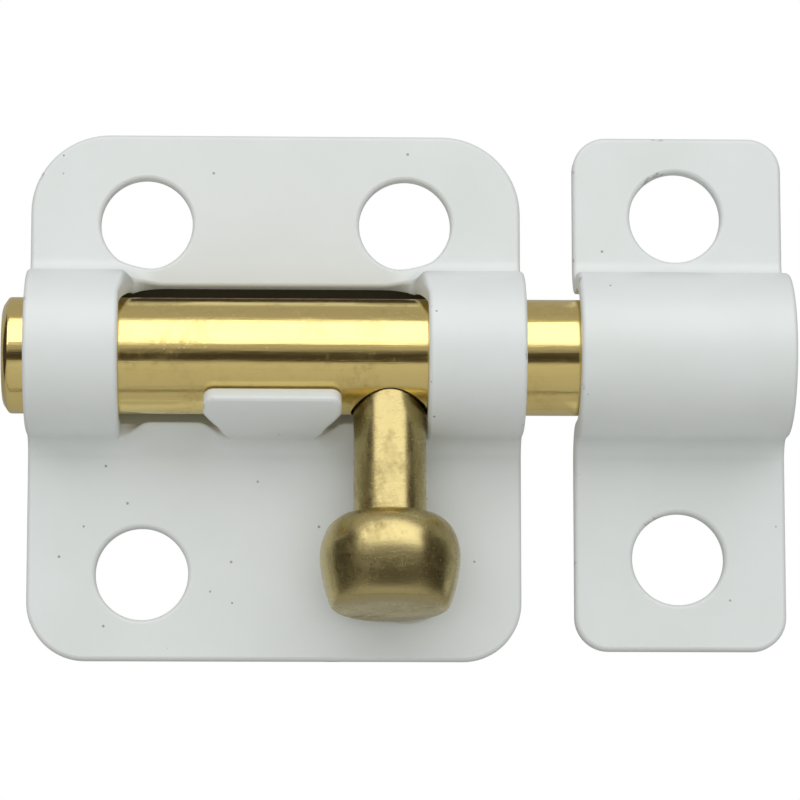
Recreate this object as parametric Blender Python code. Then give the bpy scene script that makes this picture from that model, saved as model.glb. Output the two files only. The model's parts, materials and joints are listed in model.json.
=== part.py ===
"""Surface barrel bolt with its keeper: two formed plates, a round bolt and a turned knob.

X runs along the bolt toward the keeper, Z is up, and the plates' backs lie in Y = 0 with the latch
standing out toward -Y. The origin is on the bracket's back, midway between its upper screw holes.
"""

import math

import bmesh
import bpy
from mathutils import Matrix, Vector

MM = 0.001

# Sheet and the loop that both plates share, as a section across the bolt.
SHEET = 0.9 * MM
LOOP_MID_R = 3.8 * MM
LOOP_CENTRE_H = 2.9 * MM  # above the plate's back
FOLD_MID_R = 1.45 * MM
CROWN_STEPS = 18  # facets over each loop's half circle
FOLD_STEPS = 3

# Heights along Z are counted from the bolt's axis and shifted at the end.
AXIS_BELOW_ORIGIN = 7.3 * MM
LOOP_ABOVE_AXIS = 0.2 * MM
BOLT_H = 3.05 * MM  # the axis, above the plates' backs
BOLT_R = 2.975 * MM
KEEP_OFF_R = 3.08 * MM  # no part of a formed sheet comes nearer the axis than this

BRACKET_HALF_WIDTH = 12.7 * MM
BRACKET_TOP = 12.0 * MM
BRACKET_BOTTOM = -15.4 * MM
BRACKET_TOP_R = 4.1 * MM
BRACKET_BOTTOM_R = 3.0 * MM
PLATE_CORNER_STEPS = 6
HOLE_R = 2.38 * MM
HOLE_SIDES = 32
UPPER_HOLES = (6.7 * MM, 7.3 * MM)  # half spacing, height over the bolt's axis
LOWER_HOLES = (6.8 * MM, -10.95 * MM)

# The window between the bracket's two loops.
WINDOW_LEFT = -7.95 * MM
WINDOW_RIGHT = 7.75 * MM
UPPER_LIP_Z = 4.0 * MM
UPPER_EDGE_SLOPE = 0.15
UPPER_CORNER_DROP = 0.9 * MM
UPPER_CORNER_RUN = 2.3 * MM
UPPER_BLEND = 2.2 * MM
LOWER_LIP_Z = -3.15 * MM
LOWER_LIP_LIFT = 0.7 * MM
LOWER_BLEND = 1.5 * MM
CORNER_STEPS = 5
BLEND_STEPS = 4

# The stop tab, as a flat shape: positions along the blank are counted from the loop's crown.
TAB_X = -0.14 * MM
TAB_NECK_HALF = 2.3 * MM
TAB_HEAD_HALF = 3.5 * MM
TAB_TOP_RUN = -2.7 * MM
TAB_SHOULDER_RUN = -3.8 * MM
TAB_WAIST = (2.75 * MM, -5.0 * MM)
TAB_NECK_RUN = -7.1 * MM
TAB_CORNER_R = 0.55 * MM

KEEPER_LEFT = 15.45 * MM
KEEPER_RIGHT = 26.35 * MM
KEEPER_TOP = 12.0 * MM
KEEPER_BOTTOM = -14.85 * MM
KEEPER_CORNER_R = 1.75 * MM
KEEPER_HOLE_X = 20.8 * MM
KEEPER_HOLES_Z = (7.8 * MM, -10.1 * MM)

BOLT_LEFT = -13.87 * MM
BOLT_RIGHT = 24.23 * MM
BOLT_CHAMFER = 0.35 * MM
BOLT_SIDES = 48

KNOB_X = 5.84 * MM
KNOB_LEAN = math.radians(8.2)  # how far the stem leans out from the plate
SOCKET_R = 1.3 * MM
SOCKET_END = -1.8 * MM  # distances along the stem are counted from the bolt's axis
SEAT_R = 2.15 * MM
SEAT_S = 1.9 * MM
SHANK_R = 1.25 * MM
SHANK_END = -1.5 * MM
SHOULDER_S = 1.95 * MM
STEM_R = 1.85 * MM
HEAD_PROFILE = (  # distance from the bolt's axis and radius, in mm
    (8.5, 1.85),
    (8.6, 2.6),
    (9.2, 3.2),
    (10.0, 3.5),
    (10.8, 3.55),
    (11.8, 3.4),
    (12.6, 3.2),
    (13.1, 3.0),
    (13.25, 2.8),
)
KNOB_SIDES = 32

CROWN_RUN = LOOP_MID_R * math.pi / 2
WALL_RUN = CROWN_RUN + LOOP_CENTRE_H - FOLD_MID_R - SHEET / 2
FOLD_RUN = WALL_RUN + FOLD_MID_R * math.pi / 2
FOLD_CENTRE = LOOP_MID_R + FOLD_MID_R
CUT_MARGIN = 1 * MM
TINY = 1e-7
HALVINGS = 40  # of the range searched for the window's formed edge
SHARP = math.radians(40)  # edges bent more than this stay crisp, the rest are shaded smooth


def clear_scene():
    for obj in list(bpy.data.objects):
        bpy.data.objects.remove(obj, do_unlink=True)


def material(name, colour, roughness, metallic):
    made = bpy.data.materials.new(name)
    made.use_nodes = True
    shader = made.node_tree.nodes["Principled BSDF"]
    shader.inputs["Base Color"].default_value = (*colour, 1)
    shader.inputs["Roughness"].default_value = roughness
    shader.inputs["Metallic"].default_value = metallic
    made.diffuse_color = (*colour, 1)
    return made


def add_object(name, bm, look=None, origin=(0, 0, 0)):
    bmesh.ops.recalc_face_normals(bm, faces=bm.faces)
    mesh = bpy.data.meshes.new(name)
    bm.to_mesh(mesh)
    bm.free()
    mesh.shade_smooth()
    mesh.set_sharp_from_angle(angle=SHARP)
    obj = bpy.data.objects.new(name, mesh)
    bpy.context.scene.collection.objects.link(obj)
    obj.location = origin
    if look:
        mesh.materials.append(look)
    return obj


def prism(outline, low, high):
    """A closed slab between two heights over a flat outline of (x, y) points."""
    bm = bmesh.new()
    bottom = bm.faces.new([bm.verts.new((x, y, low)) for x, y in outline])
    grown = bmesh.ops.extrude_face_region(bm, geom=[bottom])["geom"]
    for vert in grown:
        if isinstance(vert, bmesh.types.BMVert):
            vert.co.z = high
    bmesh.ops.recalc_face_normals(bm, faces=bm.faces)
    return bm


def arc(centre, radius, start, end, steps):
    """Points along an arc, both ends included, with angles in quarter turns."""
    turns = [start + (end - start) * i / steps for i in range(steps + 1)]
    return [
        (
            centre[0] + radius * math.cos(turn * math.pi / 2),
            centre[1] + radius * math.sin(turn * math.pi / 2),
        )
        for turn in turns
    ]


def rounded_plate(left, right, bottom, top, bottom_r, top_r):
    corners = (
        ((left + bottom_r, bottom + bottom_r), bottom_r, 2),
        ((right - bottom_r, bottom + bottom_r), bottom_r, 3),
        ((right - top_r, top - top_r), top_r, 4),
        ((left + top_r, top - top_r), top_r, 5),
    )
    return [
        point
        for centre, radius, start in corners
        for point in arc(centre, radius, start, start + 1, PLATE_CORNER_STEPS)
    ]


def circle(centre, radius, sides):
    return arc(centre, radius, 0, 4, sides)[:-1]


def pierced(blank, holes):
    """The slab with every outline in holes cut through it, as a bmesh."""
    body = add_object("blank", blank)
    cutters = bmesh.new()
    for hole in holes:
        cutter = bpy.data.meshes.new("cutter")
        piece = prism(hole, -CUT_MARGIN, SHEET + CUT_MARGIN)
        piece.to_mesh(cutter)
        piece.free()
        cutters.from_mesh(cutter)
        bpy.data.meshes.remove(cutter)
    punch = add_object("punch", cutters)
    punch.hide_render = True
    punch.display_type = "WIRE"
    cut = body.modifiers.new("pierce", "BOOLEAN")
    cut.operation = "DIFFERENCE"
    cut.solver = "EXACT"
    cut.object = punch
    bpy.context.view_layer.update()
    evaluated = body.evaluated_get(bpy.context.evaluated_depsgraph_get())
    result = bmesh.new()
    result.from_mesh(evaluated.to_mesh())
    evaluated.to_mesh_clear()
    for helper in (body, punch):
        bpy.data.objects.remove(helper, do_unlink=True)
    return result


def slice_at(bm, axis, value, inside=None):
    """Adds a line of edges where the slab crosses a plane, on the faces that inside accepts."""
    normal = Vector((0, 0, 0))
    normal[axis] = 1
    faces = [f for f in bm.faces if inside is None or inside(f)]
    edges = {e for f in faces for e in f.edges}
    verts = {v for f in faces for v in f.verts}
    bmesh.ops.bisect_plane(
        bm,
        geom=[*verts, *edges, *faces],
        dist=TINY,
        plane_co=normal * value,
        plane_no=normal,
    )


def run_of(z):
    """How far along the blank a flat part of a plate lies, from its height over the bolt's axis."""
    out = z - LOOP_ABOVE_AXIS
    return out + math.copysign(FOLD_RUN - FOLD_CENTRE, out)


def loop_section(run, depth):
    """Where a point of the blank goes in a full loop: its height over the loop's centre and over the back."""
    side, run, off = math.copysign(1, run), abs(run), depth - SHEET / 2
    if run <= CROWN_RUN:
        angle = run / LOOP_MID_R
        radius = LOOP_MID_R + off
        return side * radius * math.sin(angle), LOOP_CENTRE_H + radius * math.cos(angle)
    if run <= WALL_RUN:
        return side * (LOOP_MID_R + off), LOOP_CENTRE_H - (run - CROWN_RUN)
    if run <= FOLD_RUN:
        angle = (run - WALL_RUN) / FOLD_MID_R
        radius = FOLD_MID_R - off
        return (
            side * (FOLD_CENTRE - radius * math.cos(angle)),
            FOLD_MID_R + SHEET / 2 - radius * math.sin(angle),
        )
    return side * (FOLD_CENTRE + run - FOLD_RUN), depth


def lip_section(run, depth):
    """The same for the low lips above and below the window."""
    side, inward = math.copysign(1, run), FOLD_RUN - abs(run)
    lift = 0
    if side < 0 and inward > 0:
        reach = FOLD_CENTRE + LOWER_LIP_Z - LOOP_ABOVE_AXIS
        lift = LOWER_LIP_LIFT * (inward / reach) ** 2
    return side * (FOLD_CENTRE - inward), depth + lift


def ease(share):
    share = min(max(share, 0), 1)
    return share * share * (3 - 2 * share)


def lip_share(x, run):
    """How much of a bracket point is lip: 0 in the loops and the tab, 1 in the middle of a lip."""
    from_loops = min(x - WINDOW_LEFT, WINDOW_RIGHT - x)
    if run > 0:
        return ease(from_loops / UPPER_BLEND)
    if run > TAB_NECK_RUN + TINY:
        return 0
    from_tab = abs(x - TAB_X) - TAB_NECK_HALF
    return ease(min(from_loops, from_tab) / LOWER_BLEND)


def bracket_point(x, run, depth):
    """Height over the loops' centre and over the back, for a point of the bracket's blank."""
    share = lip_share(x, run)
    loop, lip = loop_section(run, depth), lip_section(run, depth)
    rise, height = (a + (b - a) * share for a, b in zip(loop, lip))
    from_axis = Vector((rise + LOOP_ABOVE_AXIS, height - BOLT_H))
    if share and from_axis.length < KEEP_OFF_R:
        from_axis = from_axis.normalized() * KEEP_OFF_R
    return from_axis.x - LOOP_ABOVE_AXIS, from_axis.y + BOLT_H


def upper_edge_run(x, z):
    """Where the blank is cut so that the formed sheet's back edge meets a plane.

    The plane stands at height z over the axis at the plate's back, and slopes down toward the front.
    """
    low, high = 0, run_of(UPPER_LIP_Z)
    for _ in range(HALVINGS):
        middle = (low + high) / 2
        rise, height = bracket_point(x, middle, 0)
        if rise + LOOP_ABOVE_AXIS + UPPER_EDGE_SLOPE * height < z:
            low = middle
        else:
            high = middle
    return (low + high) / 2


def upper_corner(edge, toward):
    """The window's rounded upper corner, from the loop's edge to the lip, as blank points."""
    points = []
    for i in range(CORNER_STEPS + 1):
        angle = i / CORNER_STEPS * math.pi / 2
        x = edge + toward * UPPER_CORNER_RUN * (1 - math.cos(angle))
        z = UPPER_LIP_Z - UPPER_CORNER_DROP * (1 - math.sin(angle))
        points.append((x, upper_edge_run(x, z)))
    return points


def window_outline():
    """The hole between the loops in the flat blank, with the stop tab standing into it from below."""
    lower = run_of(LOWER_LIP_Z)
    side = [
        (TAB_NECK_HALF, lower),
        (TAB_NECK_HALF, TAB_NECK_RUN),
        TAB_WAIST,
        (TAB_HEAD_HALF, TAB_SHOULDER_RUN),
        *arc(
            (TAB_HEAD_HALF - TAB_CORNER_R, TAB_TOP_RUN - TAB_CORNER_R),
            TAB_CORNER_R,
            0,
            1,
            CORNER_STEPS,
        ),
    ]
    tab = [(TAB_X - x, run) for x, run in side]
    tab += [(TAB_X + x, run) for x, run in reversed(side)]
    left = upper_corner(WINDOW_LEFT, 1)
    right = upper_corner(WINDOW_RIGHT, -1)
    return [
        (WINDOW_LEFT, lower),
        *tab,
        (WINDOW_RIGHT, lower),
        *right,
        *reversed(left),
    ]


def form_plate(name, outline, holes, section, look, blends=()):
    """Pierces a flat blank, slices it where it will bend, and bends it."""
    bm = pierced(prism(outline, 0, SHEET), holes)
    half = CROWN_STEPS // 2
    crown = [CROWN_RUN * i / half for i in range(-half, half + 1)]
    fold = [
        WALL_RUN + (FOLD_RUN - WALL_RUN) * i / FOLD_STEPS for i in range(FOLD_STEPS + 1)
    ]
    for run in [*crown, *fold, *(-run for run in fold)]:
        slice_at(bm, 1, run)
    for x, side in blends:
        slice_at(
            bm,
            0,
            x,
            lambda face, side=side: all(
                -TINY < side * v.co.y < FOLD_RUN + TINY for v in face.verts
            ),
        )
    bmesh.ops.triangulate(bm, faces=bm.faces)
    for vert in bm.verts:
        x, run, depth = vert.co
        rise, height = section(x, run, depth)
        vert.co = (x, -height, rise + LOOP_ABOVE_AXIS - AXIS_BELOW_ORIGIN)
    return add_object(name, bm, look)


def build_bracket(look):
    outline = rounded_plate(
        -BRACKET_HALF_WIDTH,
        BRACKET_HALF_WIDTH,
        run_of(BRACKET_BOTTOM),
        run_of(BRACKET_TOP),
        BRACKET_BOTTOM_R,
        BRACKET_TOP_R,
    )
    holes = [
        circle((side * x, run_of(z)), HOLE_R, HOLE_SIDES)
        for x, z in (UPPER_HOLES, LOWER_HOLES)
        for side in (-1, 1)
    ]
    blends = []
    for i in range(BLEND_STEPS + 1):
        upper, lower = (w * i / BLEND_STEPS for w in (UPPER_BLEND, LOWER_BLEND))
        blends += [(WINDOW_LEFT + upper, 1), (WINDOW_RIGHT - upper, 1)]
        blends += [(WINDOW_LEFT + lower, -1), (WINDOW_RIGHT - lower, -1)]
        blends += [
            (TAB_X + side * (TAB_NECK_HALF + lower), -1) for side in (1, -1)
        ]
    form_plate(
        "bracket", outline, [*holes, window_outline()], bracket_point, look, blends
    )


def build_keeper(look):
    outline = rounded_plate(
        KEEPER_LEFT,
        KEEPER_RIGHT,
        run_of(KEEPER_BOTTOM),
        run_of(KEEPER_TOP),
        KEEPER_CORNER_R,
        KEEPER_CORNER_R,
    )
    holes = [
        circle((KEEPER_HOLE_X, run_of(z)), HOLE_R, HOLE_SIDES) for z in KEEPER_HOLES_Z
    ]
    form_plate(
        "keeper", outline, holes, lambda x, run, depth: loop_section(run, depth), look
    )


def turned(profile, sides):
    """A closed solid of revolution about Z from (distance along Z, radius) points, capped flat."""
    bm = bmesh.new()
    verts = [bm.verts.new((radius, 0, along)) for along, radius in profile]
    edges = [bm.edges.new(pair) for pair in zip(verts, verts[1:])]
    bmesh.ops.spin(
        bm,
        geom=[*verts, *edges],
        cent=(0, 0, 0),
        axis=(0, 0, 1),
        angle=2 * math.pi,
        steps=sides,
        use_merge=True,
    )
    bmesh.ops.holes_fill(bm, edges=[e for e in bm.edges if e.is_boundary], sides=sides)
    bmesh.ops.recalc_face_normals(bm, faces=bm.faces)
    return bm


def stem_turn():
    """Turns +Z to the way the stem points: down, and out from the plate by its lean."""
    return Matrix.Rotation(math.pi - KNOB_LEAN, 4, "X")


def build_bolt(look, axis):
    profile = (
        (BOLT_LEFT, BOLT_R - BOLT_CHAMFER),
        (BOLT_LEFT + BOLT_CHAMFER, BOLT_R),
        (BOLT_RIGHT - BOLT_CHAMFER, BOLT_R),
        (BOLT_RIGHT, BOLT_R - BOLT_CHAMFER),
    )
    rod = turned(profile, BOLT_SIDES)
    bmesh.ops.transform(rod, matrix=Matrix.Rotation(math.pi / 2, 4, "Y"), verts=rod.verts)
    bolt = add_object("bolt", rod, look, axis)
    socket = turned(
        (
            (SOCKET_END, SOCKET_R),
            (SEAT_S, SOCKET_R),
            (SEAT_S, SEAT_R),
            (BOLT_R + CUT_MARGIN, SEAT_R),
        ),
        KNOB_SIDES,
    )
    place = Matrix.Translation((KNOB_X, 0, 0)) @ stem_turn()
    bmesh.ops.transform(socket, matrix=place, verts=socket.verts)
    cutter = add_object("socket_cutter", socket, origin=axis)
    cutter.hide_render = True
    cutter.display_type = "WIRE"
    drill = bolt.modifiers.new("socket", "BOOLEAN")
    drill.operation = "DIFFERENCE"
    drill.solver = "EXACT"
    drill.object = cutter


def build_knob(look, axis):
    profile = [(SHANK_END, SHANK_R), (SHOULDER_S, SHANK_R), (SHOULDER_S, STEM_R)]
    profile += [(s * MM, r * MM) for s, r in HEAD_PROFILE]
    knob = turned(profile, KNOB_SIDES)
    place = Matrix.Translation((KNOB_X, 0, 0)) @ stem_turn()
    bmesh.ops.transform(knob, matrix=place, verts=knob.verts)
    add_object("knob", knob, look, axis)


clear_scene()
axis_point = (0, -BOLT_H, -AXIS_BELOW_ORIGIN)
build_bracket(material("bracket_white_paint", (0.80, 0.82, 0.81), 0.35, 0))
build_keeper(material("keeper_white_paint", (0.80, 0.82, 0.81), 0.35, 0))
build_bolt(material("bolt_brass", (0.83, 0.66, 0.33), 0.22, 1), axis_point)
build_knob(material("knob_brass", (0.80, 0.62, 0.29), 0.25, 1), axis_point)
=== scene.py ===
import json
import math

import bmesh
import bpy
from mathutils import Matrix, Vector


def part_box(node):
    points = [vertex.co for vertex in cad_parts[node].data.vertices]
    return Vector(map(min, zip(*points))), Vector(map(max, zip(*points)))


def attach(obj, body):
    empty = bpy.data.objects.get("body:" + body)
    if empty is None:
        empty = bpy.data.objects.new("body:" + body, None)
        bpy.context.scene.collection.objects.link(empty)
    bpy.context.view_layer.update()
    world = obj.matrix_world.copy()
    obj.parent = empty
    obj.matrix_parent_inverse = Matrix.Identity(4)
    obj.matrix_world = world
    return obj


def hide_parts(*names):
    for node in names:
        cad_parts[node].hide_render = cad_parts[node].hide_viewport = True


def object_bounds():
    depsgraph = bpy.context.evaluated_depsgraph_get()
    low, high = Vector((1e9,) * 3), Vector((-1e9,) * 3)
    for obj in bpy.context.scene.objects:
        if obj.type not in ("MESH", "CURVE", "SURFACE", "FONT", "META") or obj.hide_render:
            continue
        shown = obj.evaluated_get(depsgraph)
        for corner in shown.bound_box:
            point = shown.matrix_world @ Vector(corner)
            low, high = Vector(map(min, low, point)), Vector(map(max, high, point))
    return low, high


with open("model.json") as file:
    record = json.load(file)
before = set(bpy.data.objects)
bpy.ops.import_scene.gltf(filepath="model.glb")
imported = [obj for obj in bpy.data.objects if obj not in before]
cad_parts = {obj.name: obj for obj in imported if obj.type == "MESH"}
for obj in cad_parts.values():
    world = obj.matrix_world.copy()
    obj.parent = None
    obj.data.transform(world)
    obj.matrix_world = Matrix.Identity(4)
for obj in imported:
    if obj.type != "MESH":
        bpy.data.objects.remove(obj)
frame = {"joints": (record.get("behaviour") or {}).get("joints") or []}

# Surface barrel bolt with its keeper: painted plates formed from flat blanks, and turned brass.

cad_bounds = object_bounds()

MM = 0.001
AXIS = Vector(next(j for j in frame["joints"] if j["name"] == "bolt_turn")["pos_m"])

# The sheet and the loop that both plates share, as a section across the bolt.
SHEET = 0.9 * MM
LOOP_MID_R = 3.8 * MM
LOOP_CENTRE_H = 2.9 * MM  # above the plate's back
FOLD_MID_R = 1.45 * MM
LOOP_ABOVE_AXIS = 0.2 * MM
KEEP_OFF_R = 3.08 * MM  # no part of a formed sheet comes nearer the bolt's axis
CROWN_STEPS = 60
FOLD_STEPS = 14
FACE_EDGE_R = 0.2 * MM  # paint rounds the edges on the sheet's front
BACK_EDGE_R = 0.1 * MM
EDGE_STEPS = 3

PLATE_CORNER_STEPS = 18
HOLE_R = 2.38 * MM
HOLE_SIDES = 72
BRACKET_TOP_R = 4.1 * MM
BRACKET_BOTTOM_R = 3.0 * MM
UPPER_HOLES = (6.7 * MM, 7.3 * MM)  # half spacing, height over the bolt's axis
LOWER_HOLES = (6.8 * MM, -10.95 * MM)
KEEPER_CORNER_R = 1.75 * MM
KEEPER_HOLE_X = 20.8 * MM
KEEPER_HOLES_Z = (7.8 * MM, -10.1 * MM)

# The window between the bracket's two loops, and the tab that stands into it.
WINDOW_LEFT = -7.95 * MM
WINDOW_RIGHT = 7.75 * MM
UPPER_LIP_Z = 4.0 * MM
UPPER_EDGE_SLOPE = 0.15
UPPER_CORNER_DROP = 0.9 * MM
UPPER_CORNER_RUN = 2.3 * MM
UPPER_BLEND = 2.2 * MM
LOWER_LIP_Z = -3.15 * MM
LOWER_LIP_LIFT = 0.7 * MM
LOWER_BLEND = 1.5 * MM
CORNER_STEPS = 12
BLEND_STEPS = 12
TAB_X = -0.14 * MM
TAB_NECK_HALF = 2.3 * MM
TAB_HEAD_HALF = 3.5 * MM
TAB_TOP_RUN = -2.7 * MM
TAB_SHOULDER_RUN = -3.8 * MM
TAB_WAIST = (2.75 * MM, -5.0 * MM)
TAB_NECK_RUN = -7.1 * MM
TAB_CORNER_R = 0.55 * MM

BOLT_CHAMFER = 0.35 * MM
BOLT_END_PROFILE = (  # how far in from the end and below the bolt's radius, as shares of the chamfer
    (0, 1.6),
    (0.12, 1.2),
    (0.75, 0.25),
    (1, 0.05),
    (1.3, 0),
)
BOLT_SIDES = 128
BOLT_RING_GAP = 0.6 * MM
KNOB_X = 5.84 * MM
KNOB_LEAN = math.radians(8.2)
SOCKET_R = 1.3 * MM
SOCKET_END = -1.8 * MM
SEAT_R = 1.98 * MM
SEAT_S = 1.9 * MM
SHANK_R = 1.25 * MM
SHANK_END = -1.5 * MM
SHOULDER_S = 1.95 * MM
STEM_R = 1.85 * MM
STEM_END = 8.45 * MM
NECK_S = 8.5 * MM  # a fine step between stem and head
NECK_R = STEM_R + 0.06 * MM
HEAD_PROFILE = (  # distance from the bolt's axis and radius, in mm
    (8.55, 2.35),
    (8.72, 2.75),
    (9.2, 3.2),
    (10.0, 3.5),
    (10.8, 3.55),
    (11.8, 3.4),
    (12.6, 3.2),
    (13.1, 3.0),
    (13.25, 2.8),
)
HEAD_STEPS = 6  # between two points of the profile
HEAD_END_RING_R = 1.4 * MM
KNOB_SIDES = 96

SHADE_GAP = 0.3 * MM  # behind the plates' backs
SHADE_HALF_WIDTH = 9 * MM
SHADE_HALF_HEIGHT = 4.4 * MM

CROWN_RUN = LOOP_MID_R * math.pi / 2
WALL_RUN = CROWN_RUN + LOOP_CENTRE_H - FOLD_MID_R - SHEET / 2
FOLD_RUN = WALL_RUN + FOLD_MID_R * math.pi / 2
FOLD_CENTRE = LOOP_MID_R + FOLD_MID_R
TINY = 1e-7
HALVINGS = 40
SHARP = math.radians(40)


# ---- forming sheet -----------------------------------------------------------------------------


def arc(centre, radius, start, end, steps):
    """Points along an arc, both ends included, with angles in quarter turns."""
    turns = [start + (end - start) * i / steps for i in range(steps + 1)]
    return [
        (
            centre[0] + radius * math.cos(turn * math.pi / 2),
            centre[1] + radius * math.sin(turn * math.pi / 2),
        )
        for turn in turns
    ]


def run_of(z):
    """How far along the blank a flat part of a plate lies, from its height over the bolt's axis."""
    out = z - LOOP_ABOVE_AXIS
    return out + math.copysign(FOLD_RUN - FOLD_CENTRE, out)


def plate_outline(node, bottom_r, top_r):
    low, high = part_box(node)
    left, right = low.x, high.x
    bottom, top = run_of(low.z - AXIS.z), run_of(high.z - AXIS.z)
    corners = (
        ((left + bottom_r, bottom + bottom_r), bottom_r, 2),
        ((right - bottom_r, bottom + bottom_r), bottom_r, 3),
        ((right - top_r, top - top_r), top_r, 4),
        ((left + top_r, top - top_r), top_r, 5),
    )
    return [
        point
        for centre, radius, start in corners
        for point in arc(centre, radius, start, start + 1, PLATE_CORNER_STEPS)
    ]


def screw_hole(x, z):
    return arc((x, run_of(z)), HOLE_R, 0, 4, HOLE_SIDES)[:-1]


def round_edge(bm, cap, radius, side):
    """Rounds the rim of a flat cap by insetting it in steps while it moves out."""
    last_in, last_out = 0, 0
    for i in range(1, EDGE_STEPS + 1):
        angle = i / EDGE_STEPS * math.pi / 2
        inset, out = radius * (1 - math.cos(angle)), radius * math.sin(angle)
        bmesh.ops.inset_region(
            bm,
            faces=cap,
            use_boundary=True,
            use_even_offset=True,
            thickness=inset - last_in,
        )
        for vert in {v for face in cap for v in face.verts}:
            vert.co.z += side * (out - last_out)
        last_in, last_out = inset, out


def flat_blank(outline, holes):
    """A flat pierced slab from 0 to SHEET in height, with its rims rounded on both faces."""
    bm = bmesh.new()
    edges = []
    for loop in (outline, *holes):
        verts = [bm.verts.new((x, y, BACK_EDGE_R)) for x, y in loop]
        edges += [bm.edges.new(pair) for pair in zip(verts, [*verts[1:], verts[0]])]
    bmesh.ops.triangle_fill(bm, edges=edges, use_beauty=True)
    bottom = list(bm.faces)
    grown = bmesh.ops.extrude_face_region(bm, geom=bottom, use_keep_orig=True)["geom"]
    top = [g for g in grown if isinstance(g, bmesh.types.BMFace)]
    for vert in {v for face in top for v in face.verts}:
        vert.co.z = SHEET - FACE_EDGE_R
    bmesh.ops.recalc_face_normals(bm, faces=bm.faces)
    round_edge(bm, top, FACE_EDGE_R, 1)
    round_edge(bm, bottom, BACK_EDGE_R, -1)
    return bm


def slice_at(bm, axis, value, inside=None):
    """Adds a line of edges where the slab crosses a plane, on the faces that inside accepts."""
    normal = Vector((0, 0, 0))
    normal[axis] = 1
    faces = [f for f in bm.faces if inside is None or inside(f)]
    edges = {e for f in faces for e in f.edges}
    verts = {v for f in faces for v in f.verts}
    bmesh.ops.bisect_plane(
        bm, geom=[*verts, *edges, *faces], dist=TINY, plane_co=normal * value, plane_no=normal
    )


def loop_section(run, depth):
    """Where a point of the blank goes in a loop: its height over the loop's centre and over the back."""
    side, run, off = math.copysign(1, run), abs(run), depth - SHEET / 2
    if run <= CROWN_RUN:
        angle = run / LOOP_MID_R
        radius = LOOP_MID_R + off
        return side * radius * math.sin(angle), LOOP_CENTRE_H + radius * math.cos(angle)
    if run <= WALL_RUN:
        return side * (LOOP_MID_R + off), LOOP_CENTRE_H - (run - CROWN_RUN)
    if run <= FOLD_RUN:
        angle = (run - WALL_RUN) / FOLD_MID_R
        radius = FOLD_MID_R - off
        return (
            side * (FOLD_CENTRE - radius * math.cos(angle)),
            FOLD_MID_R + SHEET / 2 - radius * math.sin(angle),
        )
    return side * (FOLD_CENTRE + run - FOLD_RUN), depth


def keeper_point(x, run, depth):
    return loop_section(run, depth)


def lip_section(run, depth):
    """The same for the low lips above and below the window."""
    side, inward = math.copysign(1, run), FOLD_RUN - abs(run)
    lift = 0
    if side < 0 and inward > 0:
        reach = FOLD_CENTRE + LOWER_LIP_Z - LOOP_ABOVE_AXIS
        lift = LOWER_LIP_LIFT * (inward / reach) ** 2
    return side * (FOLD_CENTRE - inward), depth + lift


def ease(share):
    share = min(max(share, 0), 1)
    return share * share * (3 - 2 * share)


def lip_share(x, run):
    """How much of a bracket point is lip: 0 in the loops and the tab, 1 in the middle of a lip."""
    from_loops = min(x - WINDOW_LEFT, WINDOW_RIGHT - x)
    if run > 0:
        return ease(from_loops / UPPER_BLEND)
    if run > TAB_NECK_RUN + TINY:
        return 0
    from_tab = abs(x - TAB_X) - TAB_NECK_HALF
    return ease(min(from_loops, from_tab) / LOWER_BLEND)


def bracket_point(x, run, depth):
    """Height over the loops' centre and over the back, for a point of the bracket's blank."""
    share = lip_share(x, run)
    loop, lip = loop_section(run, depth), lip_section(run, depth)
    rise, height = (a + (b - a) * share for a, b in zip(loop, lip))
    from_axis = Vector((rise + LOOP_ABOVE_AXIS, height + AXIS.y))
    if share and from_axis.length < KEEP_OFF_R:
        from_axis = from_axis.normalized() * KEEP_OFF_R
    return from_axis.x - LOOP_ABOVE_AXIS, from_axis.y - AXIS.y


def upper_edge_run(x, z):
    """Where the blank is cut so that the formed sheet's back edge meets a plane.

    The plane stands at height z over the axis at the plate's back, and slopes down toward the front.
    """
    low, high = 0, run_of(UPPER_LIP_Z)
    for _ in range(HALVINGS):
        middle = (low + high) / 2
        rise, height = bracket_point(x, middle, 0)
        if rise + LOOP_ABOVE_AXIS + UPPER_EDGE_SLOPE * height < z:
            low = middle
        else:
            high = middle
    return (low + high) / 2


def upper_corner(edge, toward):
    """The window's rounded upper corner, from the loop's edge to the lip, as blank points."""
    points = []
    for i in range(CORNER_STEPS + 1):
        angle = i / CORNER_STEPS * math.pi / 2
        x = edge + toward * UPPER_CORNER_RUN * (1 - math.cos(angle))
        z = UPPER_LIP_Z - UPPER_CORNER_DROP * (1 - math.sin(angle))
        points.append((x, upper_edge_run(x, z)))
    return points


def window_outline():
    """The hole between the loops in the flat blank, with the stop tab standing into it from below."""
    lower = run_of(LOWER_LIP_Z)
    corner = (TAB_HEAD_HALF - TAB_CORNER_R, TAB_TOP_RUN - TAB_CORNER_R)
    side = [
        (TAB_NECK_HALF, lower),
        (TAB_NECK_HALF, TAB_NECK_RUN),
        TAB_WAIST,
        (TAB_HEAD_HALF, TAB_SHOULDER_RUN),
        *arc(corner, TAB_CORNER_R, 0, 1, CORNER_STEPS),
    ]
    tab = [(TAB_X - x, run) for x, run in side]
    tab += [(TAB_X + x, run) for x, run in reversed(side)]
    left, right = upper_corner(WINDOW_LEFT, 1), upper_corner(WINDOW_RIGHT, -1)
    return [(WINDOW_LEFT, lower), *tab, (WINDOW_RIGHT, lower), *right, *reversed(left)]


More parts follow.
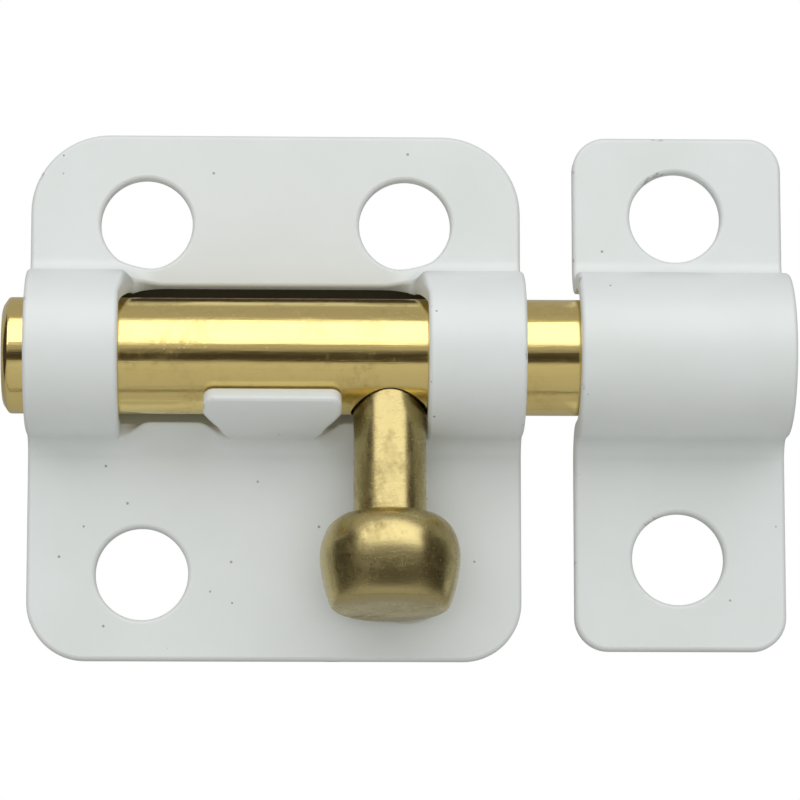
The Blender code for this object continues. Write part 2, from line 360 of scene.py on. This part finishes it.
def mark_rims(bm):
    """Keeps the flat faces' shading apart from their rounded rims, and notes where the rims are."""
    rim = bm.verts.layers.float.new("rim")
    for vert in bm.verts:
        vert[rim] = 0 if min(vert.co.z, SHEET - vert.co.z) < TINY else 1
    for edge in bm.edges:
        if len(edge.link_faces) == 2:
            one, other = (abs(f.normal.z) > 1 - TINY for f in edge.link_faces)
            edge.smooth = one == other and edge.calc_face_angle(0) < SHARP


def formed_plate(name, outline, holes, place, blends=()):
    """Pierces a flat blank, slices it where it will bend, and bends it."""
    bm = flat_blank(outline, holes)
    half = CROWN_STEPS // 2
    crown = [CROWN_RUN * i / half for i in range(-half, half + 1)]
    fold = [WALL_RUN + (FOLD_RUN - WALL_RUN) * i / FOLD_STEPS for i in range(FOLD_STEPS + 1)]
    fold.append(FOLD_RUN + (FOLD_RUN - WALL_RUN) / FOLD_STEPS)
    for run in [*crown, *fold, *(-run for run in fold)]:
        slice_at(bm, 1, run)
    for x, side in blends:

        def formed(face, side=side):
            return all(-TINY < side * v.co.y < FOLD_RUN + TINY for v in face.verts)

        slice_at(bm, 0, x, formed)
    bmesh.ops.triangulate(bm, faces=bm.faces)
    bm.normal_update()
    mark_rims(bm)
    for vert in bm.verts:
        x, run, depth = vert.co
        rise, height = place(x, run, depth)
        vert.co = (x, -height, rise + LOOP_ABOVE_AXIS + AXIS.z)
    return finished(name, bm)


def finished(name, bm):
    bmesh.ops.recalc_face_normals(bm, faces=bm.faces)
    for face in bm.faces:
        face.smooth = True
    mesh = bpy.data.meshes.new(name)
    bm.to_mesh(mesh)
    bm.free()
    obj = bpy.data.objects.new(name, mesh)
    bpy.context.scene.collection.objects.link(obj)
    return obj


def make_bracket():
    holes = [
        screw_hole(side * x, z) for x, z in (UPPER_HOLES, LOWER_HOLES) for side in (-1, 1)
    ]
    blends = []
    for i in range(BLEND_STEPS + 1):
        upper, lower = (w * i / BLEND_STEPS for w in (UPPER_BLEND, LOWER_BLEND))
        blends += [(WINDOW_LEFT + upper, 1), (WINDOW_RIGHT - upper, 1)]
        blends += [(WINDOW_LEFT + lower, -1), (WINDOW_RIGHT - lower, -1)]
        blends += [(TAB_X + side * (TAB_NECK_HALF + lower), -1) for side in (1, -1)]
    outline = plate_outline("bracket", BRACKET_BOTTOM_R, BRACKET_TOP_R)
    return formed_plate(
        "painted_bracket", outline, [*holes, window_outline()], bracket_point, blends
    )


def make_keeper():
    holes = [screw_hole(KEEPER_HOLE_X, z) for z in KEEPER_HOLES_Z]
    outline = plate_outline("keeper", KEEPER_CORNER_R, KEEPER_CORNER_R)
    return formed_plate("painted_keeper", outline, holes, keeper_point)


# ---- turned brass ------------------------------------------------------------------------------


def turned(profile, sides):
    """A closed solid of revolution about Z, from (along Z, radius) points that start and end on Z."""
    bm = bmesh.new()
    verts = [bm.verts.new((radius, 0, along)) for along, radius in profile]
    edges = [bm.edges.new(pair) for pair in zip(verts, verts[1:])]
    bmesh.ops.spin(
        bm,
        geom=[*verts, *edges],
        cent=(0, 0, 0),
        axis=(0, 0, 1),
        angle=2 * math.pi,
        steps=sides,
        use_merge=True,
    )
    bmesh.ops.remove_doubles(bm, verts=bm.verts, dist=TINY)
    bmesh.ops.recalc_face_normals(bm, faces=bm.faces)
    return bm


def smooth_run(points, steps):
    """More points along a smooth curve through the given ones."""
    ends = [points[0], *points, points[-1]]
    made = []
    for a, b, c, d in zip(ends, ends[1:], ends[2:], ends[3:]):
        for i in range(steps):
            t = i / steps
            made.append(
                tuple(
                    0.5
                    * (
                        2 * q
                        + (r - p) * t
                        + (2 * p - 5 * q + 4 * r - s) * t * t
                        + (3 * q - p - 3 * r + s) * t**3
                    )
                    for p, q, r, s in zip(a, b, c, d)
                )
            )
    return [*made, points[-1]]


def stem_place():
    """Turns +Z to the way the stem points, and moves it onto the bolt's axis."""
    lean = Matrix.Rotation(math.pi - KNOB_LEAN, 4, "X")
    return Matrix.Translation(AXIS + Vector((KNOB_X, 0, 0))) @ lean


def make_drill(reach):
    """The tool that sinks the stem's socket and its wider seat into the bolt."""
    profile = (
        (SOCKET_END, 0),
        (SOCKET_END, SOCKET_R),
        (SEAT_S, SOCKET_R),
        (SEAT_S, SEAT_R),
        (reach, SEAT_R),
        (reach, 0),
    )
    drill = turned(profile, KNOB_SIDES)
    bmesh.ops.transform(drill, matrix=stem_place(), verts=drill.verts)
    return finished("drill", drill)


def bored(piece, drill):
    """Cuts the drill's shape out of a piece and throws the drill away."""
    cut = piece.modifiers.new("socket", "BOOLEAN")
    cut.solver = "EXACT"
    cut.object = drill
    bpy.context.view_layer.update()
    evaluated = piece.evaluated_get(bpy.context.evaluated_depsgraph_get())
    drilled = bpy.data.meshes.new_from_object(evaluated)
    piece.modifiers.clear()
    piece.data = drilled
    bpy.data.objects.remove(drill, do_unlink=True)
    drilled.set_sharp_from_angle(angle=SHARP)
    return piece


def make_bolt():
    low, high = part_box("bolt")
    radius = (high.z - low.z) / 2
    body = high.x - low.x - 2 * BOLT_CHAMFER
    rings = round(body / BOLT_RING_GAP)
    end = [(0, 0)]
    end += [(i * BOLT_CHAMFER, radius - o * BOLT_CHAMFER) for i, o in BOLT_END_PROFILE]
    profile = [(low.x + along, r) for along, r in end]
    profile += [(low.x + BOLT_CHAMFER + body * i / rings, radius) for i in range(1, rings)]
    profile += [(high.x - along, r) for along, r in reversed(end)]
    rod = turned(profile, BOLT_SIDES)
    lie = Matrix.Translation((0, AXIS.y, AXIS.z)) @ Matrix.Rotation(math.pi / 2, 4, "Y")
    bmesh.ops.transform(rod, matrix=lie, verts=rod.verts)
    return bored(finished("brass_bolt", rod), make_drill(SEAT_S + radius))


def make_knob():
    profile = [(SHANK_END, 0), (SHANK_END, SHANK_R), (SHOULDER_S, SHANK_R), (SHOULDER_S, STEM_R)]
    profile += [(STEM_END, STEM_R), (NECK_S, NECK_R)]
    profile += [(s * MM, r * MM) for s, r in smooth_run(HEAD_PROFILE, HEAD_STEPS)]
    end = HEAD_PROFILE[-1][0] * MM
    profile += [(end, HEAD_END_RING_R), (end, 0)]
    knob = turned(profile, KNOB_SIDES)
    bmesh.ops.transform(knob, matrix=stem_place(), verts=knob.verts)
    made = finished("brass_knob", knob)
    made.data.set_sharp_from_angle(angle=SHARP)
    return made


# ---- materials ---------------------------------------------------------------------------------

PAINT = (0.835, 0.87, 0.868, 1)
PAINT_IN_CLOUDS = (0.755, 0.79, 0.77, 1)
PAINT_ON_RIMS = (0.42, 0.42, 0.38, 1)
DUST = (0.25, 0.24, 0.2, 1)
BARE_STEEL = (0.2, 0.17, 0.12, 1)
SCORE_LINES = (0.42, 0.3, 0.12, 1)
PAINT_RELIEF = 0.004 * MM
BRASS_RELIEF = 0.01 * MM


def feed(tree, made, inputs):
    """Links or sets a node's inputs, by name or number."""
    for key, value in inputs.items():
        if isinstance(value, bpy.types.NodeSocket):
            tree.links.new(value, made.inputs[key])
        else:
            made.inputs[key].default_value = value


def node(tree, kind, inputs=(), **settings):
    made = tree.nodes.new(kind)
    for name, value in settings.items():
        setattr(made, name, value)
    feed(tree, made, dict(inputs))
    return made


def group(name, takes):
    """A node group that takes (name, kind, value) sockets and gives a colour, a roughness and a height."""
    tree = bpy.data.node_groups.new(name, "ShaderNodeTree")
    for label, kind, value in takes:
        socket = tree.interface.new_socket(name=label, in_out="INPUT", socket_type=kind)
        socket.default_value = value
    for label, kind in (("Color", "Color"), ("Roughness", "Float"), ("Height", "Float")):
        tree.interface.new_socket(name=label, in_out="OUTPUT", socket_type="NodeSocket" + kind)
    start, end = tree.nodes.new("NodeGroupInput"), tree.nodes.new("NodeGroupOutput")
    return tree, start.outputs, end.inputs


def ramp(tree, value, low, high):
    """0 up to low, 1 from high on."""
    made = node(tree, "ShaderNodeMapRange", {0: value, 1: low, 2: high}, clamp=True)
    return made.outputs[0]


def maths(tree, operation, *values):
    return node(tree, "ShaderNodeMath", dict(enumerate(values)), operation=operation).outputs[0]


def times(tree, one, other):
    return maths(tree, "MULTIPLY", one, other)


def blend_colour(tree, share, one, other):
    made = node(tree, "ShaderNodeMix", {0: share, 6: one, 7: other}, data_type="RGBA")
    return made.outputs[2]


def noise(tree, vector, scale, detail=2.0, roughness=0.5):
    made = node(
        tree,
        "ShaderNodeTexNoise",
        {"Vector": vector, "Scale": scale, "Detail": detail, "Roughness": roughness},
    )
    return made.outputs[0]


def specks(tree, vector, scale, share, size):
    """A mask of small round specks, one in some of the cells."""
    cells = node(tree, "ShaderNodeTexVoronoi", {"Vector": vector, "Scale": scale})
    near = maths(tree, "LESS_THAN", cells.outputs["Distance"], size)
    red = node(tree, "ShaderNodeSeparateColor", {0: cells.outputs["Color"]}).outputs[0]
    return times(tree, near, maths(tree, "LESS_THAN", red, share))


def paint_group():
    """Gloss paint: faint clouds, dust caught in it, and rims where it is thin and chipped."""
    tree, takes, gives = group(
        "paint_skin",
        (
            ("Vector", "NodeSocketVector", (0, 0, 0)),
            ("Rim", "NodeSocketFloat", 0),
            ("Paint", "NodeSocketColor", PAINT),
            ("Speck share", "NodeSocketFloat", 0.1),
            ("Chip amount", "NodeSocketFloat", 0.5),
        ),
    )
    place, rim = takes["Vector"], takes["Rim"]
    cloud = noise(tree, place, scale=160, detail=3)
    colour = blend_colour(tree, ramp(tree, cloud, 0.1, 0.9), takes["Paint"], PAINT_IN_CLOUDS)
    dust = specks(tree, place, scale=900, share=takes["Speck share"], size=0.065)
    colour = blend_colour(tree, times(tree, dust, 0.75), colour, DUST)
    colour = blend_colour(tree, times(tree, rim, 0.12), colour, PAINT_ON_RIMS)
    worn = noise(tree, place, scale=420, detail=4, roughness=0.7)
    chips = times(tree, times(tree, ramp(tree, worn, 0.63, 0.7), rim), takes["Chip amount"])
    colour = blend_colour(tree, chips, colour, BARE_STEEL)
    tree.links.new(colour, gives["Color"])
    rough = maths(tree, "MULTIPLY_ADD", cloud, 0.1, 0.32)
    tree.links.new(maths(tree, "MULTIPLY_ADD", chips, 0.3, rough), gives["Roughness"])
    peel = noise(tree, place, scale=1100, detail=1)
    tree.links.new(maths(tree, "MULTIPLY_ADD", chips, -0.6, peel), gives["Height"])
    return tree


def brass_group():
    """Worn brass: dull mottled patches with pits in them, and fine lines the way it was drawn or turned."""
    tree, takes, gives = group(
        "brass_skin",
        (
            ("Vector", "NodeSocketVector", (0, 0, 0)),
            ("Drawn", "NodeSocketVector", (0, 0, 0)),
            ("Bright", "NodeSocketColor", (0.86, 0.72, 0.36, 1)),
            ("Dull", "NodeSocketColor", (0.6, 0.46, 0.2, 1)),
            ("Tarnish", "NodeSocketFloat", 0.3),
            ("Scratches", "NodeSocketFloat", 0.5),
            ("Polish", "NodeSocketFloat", 0.14),
            ("Pits", "NodeSocketFloat", 0.3),
        ),
    )
    place = takes["Vector"]
    patches = noise(tree, place, scale=330, detail=5, roughness=0.65)
    fine = noise(tree, place, scale=2600, detail=3, roughness=0.7)
    mottle = times(tree, ramp(tree, patches, 0.48, 0.68), ramp(tree, fine, 0.35, 0.62))
    dulled = times(tree, mottle, takes["Tarnish"])
    streaks = noise(tree, takes["Drawn"], scale=1, detail=4, roughness=0.65)
    scored = times(tree, ramp(tree, streaks, 0.56, 0.72), takes["Scratches"])
    colour = blend_colour(tree, dulled, takes["Bright"], takes["Dull"])
    colour = blend_colour(tree, times(tree, scored, 0.35), colour, SCORE_LINES)
    tree.links.new(colour, gives["Color"])
    rough = maths(tree, "MULTIPLY_ADD", dulled, 0.35, takes["Polish"])
    rough = maths(tree, "MULTIPLY_ADD", scored, 0.15, rough)
    tree.links.new(rough, gives["Roughness"])
    pits = specks(tree, place, scale=4200, share=takes["Pits"], size=0.3)
    pits = times(tree, pits, ramp(tree, patches, 0.42, 0.58))
    waves = times(tree, noise(tree, place, scale=260), 2.6)
    height = maths(tree, "MULTIPLY_ADD", fine, dulled, waves)
    height = maths(tree, "MULTIPLY_ADD", pits, -0.5, height)
    height = maths(tree, "MULTIPLY_ADD", streaks, takes["Scratches"], height)
    tree.links.new(height, gives["Height"])
    return tree


def coated(name, skin_tree, relief, metal):
    """A material that a skin group colours, with the group's own node and the coordinates it reads."""
    made = bpy.data.materials.new(name)
    made.use_nodes = True
    tree = made.node_tree
    shader = tree.nodes["Principled BSDF"]
    place = node(tree, "ShaderNodeTexCoord").outputs["Object"]
    skin = node(tree, "ShaderNodeGroup", {"Vector": place}, node_tree=skin_tree)
    tree.links.new(skin.outputs["Color"], shader.inputs["Base Color"])
    tree.links.new(skin.outputs["Roughness"], shader.inputs["Roughness"])
    bump = {"Strength": 1.0, "Distance": relief, "Height": skin.outputs["Height"]}
    tree.links.new(node(tree, "ShaderNodeBump", bump).outputs[0], shader.inputs["Normal"])
    shader.inputs["Metallic"].default_value = metal
    return made, skin, place


def paint(name, skin_tree):
    made, skin, _ = coated(name, skin_tree, PAINT_RELIEF, metal=0)
    rim = node(made.node_tree, "ShaderNodeAttribute", attribute_name="rim").outputs["Fac"]
    feed(made.node_tree, skin, {"Rim": rim, "Paint": PAINT, "Speck share": 0.3, "Chip amount": 0.8})
    return made


def brass(name, skin_tree, stretch, turn, inputs):
    """Brass whose fine lines run along the direction of the least stretch, after a turn."""
    made, skin, place = coated(name, skin_tree, BRASS_RELIEF, metal=1)
    mapping = {"Vector": place, "Rotation": turn, "Scale": stretch}
    drawn = node(made.node_tree, "ShaderNodeMapping", mapping).outputs[0]
    feed(made.node_tree, skin, {"Drawn": drawn, **inputs})
    return made


def drawn_brass(skin_tree):
    return brass(
        "bolt_drawn_brass",
        skin_tree,
        stretch=(90, 5200, 5200),
        turn=(0, 0, 0),
        inputs={
            "Bright": (0.85, 0.67, 0.265, 1),
            "Dull": (0.5, 0.35, 0.12, 1),
            "Tarnish": 0.45,
            "Scratches": 0.6,
            "Polish": 0.15,
            "Pits": 0.25,
        },
    )


def turned_brass(skin_tree):
    return brass(
        "knob_turned_brass",
        skin_tree,
        stretch=(700, 700, 4200),
        turn=(-KNOB_LEAN, 0, 0),
        inputs={
            "Bright": (0.51, 0.42, 0.19, 1),
            "Dull": (0.3, 0.23, 0.09, 1),
            "Tarnish": 0.75,
            "Scratches": 0.4,
            "Polish": 0.26,
            "Pits": 0.8,
        },
    )


# ---- the latch ---------------------------------------------------------------------------------

paint_skin, brass_skin = paint_group(), brass_group()
for piece, cad, body, slot, look in (
    (make_bracket(), "bracket", "bracket", "bracket_paint", paint("bracket_gloss_paint", paint_skin)),
    (make_keeper(), "keeper", "keeper", "keeper_paint", paint("keeper_gloss_paint", paint_skin)),
    (make_bolt(), "bolt", "bolt", "bolt_brass", drawn_brass(brass_skin)),
    (make_knob(), "knob", "bolt", "knob_brass", turned_brass(brass_skin)),
):
    piece.data.materials.clear()
    piece.data.materials.append(look)
    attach(piece, body)
    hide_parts(cad)

# ---- studio ------------------------------------------------------------------------------------

FLOOR_GREY = (0.68, 0.68, 0.66)
DARK_CARD = (0.09, 0.075, 0.06)
# Painted shade for the backing behind the window: dark high up, paler low down.
SHADE_DARK = (0.05, 0.043, 0.027, 1)
SHADE_PALE = (0.85, 0.85, 0.68, 1)  # low down, where light reaches it
SHADE_PALE_BELOW = 3.6 * MM  # under the bolt's axis
SHADE_DARK_BELOW = 1.5 * MM
STRIP_CENTRE = (0, -0.0018, AXIS.z + 0.0047)
ROOM_GREY = (0.42, 0.42, 0.42, 1)
BACKDROP_WHITE = (1, 1, 1, 1)
LENS = 181
SENSOR = 36
DISTANCE = 0.2078
LOOK_UP = math.radians(8.4)
AIM = Vector((6.45, -0.9, -9.2)) * MM
NEAREST = 0.01


def plane(name, centre, across, up, colour):
    """A flat rectangle about its centre, spanned by two half vectors."""
    bm = bmesh.new()
    bmesh.ops.create_grid(bm, x_segments=1, y_segments=1, size=1)
    span = Matrix((across, up, Vector(across).cross(Vector(up)))).transposed().to_4x4()
    bmesh.ops.transform(bm, matrix=Matrix.Translation(centre) @ span, verts=bm.verts)
    made = finished(name, bm)
    look = bpy.data.materials.new(name)
    look.use_nodes = True
    shader = look.node_tree.nodes["Principled BSDF"]
    shader.inputs["Base Color"].default_value = (*colour, 1)
    shader.inputs["Roughness"].default_value = 0.9
    shader.inputs["Specular IOR Level"].default_value = 0.1
    made.data.materials.append(look)
    return made


def seen_from_front(made):
    """Lets a backing show only from in front of it, with painted shade that is darker toward its top."""
    tree = made.active_material.node_tree
    shader = tree.nodes["Principled BSDF"]
    place = node(tree, "ShaderNodeTexCoord").outputs["Object"]
    height = node(tree, "ShaderNodeSeparateXYZ", {0: place}).outputs["Z"]
    dark = ramp(tree, height, AXIS.z - SHADE_PALE_BELOW, AXIS.z - SHADE_DARK_BELOW)
    tree.links.new(blend_colour(tree, dark, SHADE_PALE, SHADE_DARK), shader.inputs["Base Color"])
    behind = node(tree, "ShaderNodeNewGeometry").outputs["Backfacing"]
    clear = node(tree, "ShaderNodeBsdfTransparent").outputs[0]
    mixed = node(tree, "ShaderNodeMixShader", {0: behind, 1: shader.outputs[0], 2: clear})
    tree.links.new(mixed.outputs[0], tree.nodes["Material Output"].inputs["Surface"])
    made.visible_shadow = False
    made.visible_diffuse = False


def softbox(name, place, aim, width, height, glow):
    """A rectangular area light whose surface glows evenly."""
    lamp = bpy.data.lights.new(name, "AREA")
    lamp.shape = "RECTANGLE"
    lamp.size, lamp.size_y = width, height
    lamp.energy = glow * width * height * math.pi
    made = bpy.data.objects.new(name, lamp)
    bpy.context.scene.collection.objects.link(made)
    made.location = place
    made.rotation_euler = (Vector(aim) - Vector(place)).to_track_quat("-Z", "Y").to_euler()
    return made


def light_the_room():
    """A grey room to reflect, and a plain white backdrop to see."""
    world = bpy.data.worlds.new("studio")
    bpy.context.scene.world = world
    world.use_nodes = True
    sky = world.node_tree
    seen = node(sky, "ShaderNodeLightPath").outputs["Is Camera Ray"]
    white = blend_colour(sky, seen, ROOM_GREY, BACKDROP_WHITE)
    sky.links.new(white, sky.nodes["Background"].inputs["Color"])


def place_camera():
    """In front of the bracket's middle and a little below it, with the view turned to the latch's middle."""
    camera = bpy.data.objects.new("camera", bpy.data.cameras.new("camera"))
    bpy.context.scene.collection.objects.link(camera)
    bpy.context.scene.camera = camera
    camera.data.lens = LENS
    camera.data.sensor_width = SENSOR
    camera.data.clip_start = NEAREST
    back, down = DISTANCE * math.cos(LOOK_UP), DISTANCE * math.sin(LOOK_UP)
    camera.location = (0, AIM.y - back, AIM.z - down)
    camera.rotation_euler = (AIM - camera.location).to_track_quat("-Z", "Y").to_euler()


plane("floor", (0, 0, -0.12), (3, 0, 0), (0, 3, 0), FLOOR_GREY)

# What the brass mirrors: a dark room, and a dark strip by the window's upper edge that stands in for that
# edge's shaded underside, as painted shade.
for name, place, across, up in (
    ("dark_card_front", (0, -0.26, -0.05), (0.4, 0, 0), (0, 0, 0.05)),
    ("dark_card_left", (-0.4, -0.05, 0.1), (0, 0.25, 0), (0, 0, 0.25)),
    ("dark_card_right", (0.4, -0.05, 0.1), (0, 0.25, 0), (0, 0, 0.25)),
    ("dark_strip_below", (0, -0.018, -0.1), (0.4, 0, 0), (0, 0.003, 0)),
    # Painted shade: a dark strip seen only in the brass's reflections, in place of the upper edge's shaded
    # underside.
    ("painted_shade_strip_over_window", STRIP_CENTRE, (0.0078, 0, 0), (0, 0.0007, -0.0006)),
):
    card = plane(name, place, across, up, DARK_CARD)
    card.visible_camera = False
    card.visible_shadow = False
    card.visible_diffuse = False

# A dark backing behind the bracket's window, painted shade standing for what lies in shade there, as on a
# door.
shade = plane(
    "window_shade",
    ((WINDOW_LEFT + WINDOW_RIGHT) / 2, SHADE_GAP, AXIS.z),
    (SHADE_HALF_WIDTH, 0, 0),
    (0, 0, SHADE_HALF_HEIGHT),
    SHADE_DARK[:3],
)
seen_from_front(shade)

# The key lights everything. The shine behind it is seen only in reflections, and the fill in none.
middle = (cad_bounds[0] + cad_bounds[1]) / 2
softbox("key_softbox", (0, -0.28, 0.24), middle, 1.0, 0.34, glow=1.02)
shine = softbox("shine_softbox", (0, -0.3, 0.257), middle, 1.07, 0.364, glow=0.6)
shine.visible_diffuse = False
fill = softbox("front_fill", (0, -0.4, -0.06), middle, 0.4, 0.3, glow=0.98)
fill.visible_glossy = False

light_the_room()
place_camera()
bpy.context.scene.view_settings.view_transform = "Standard"
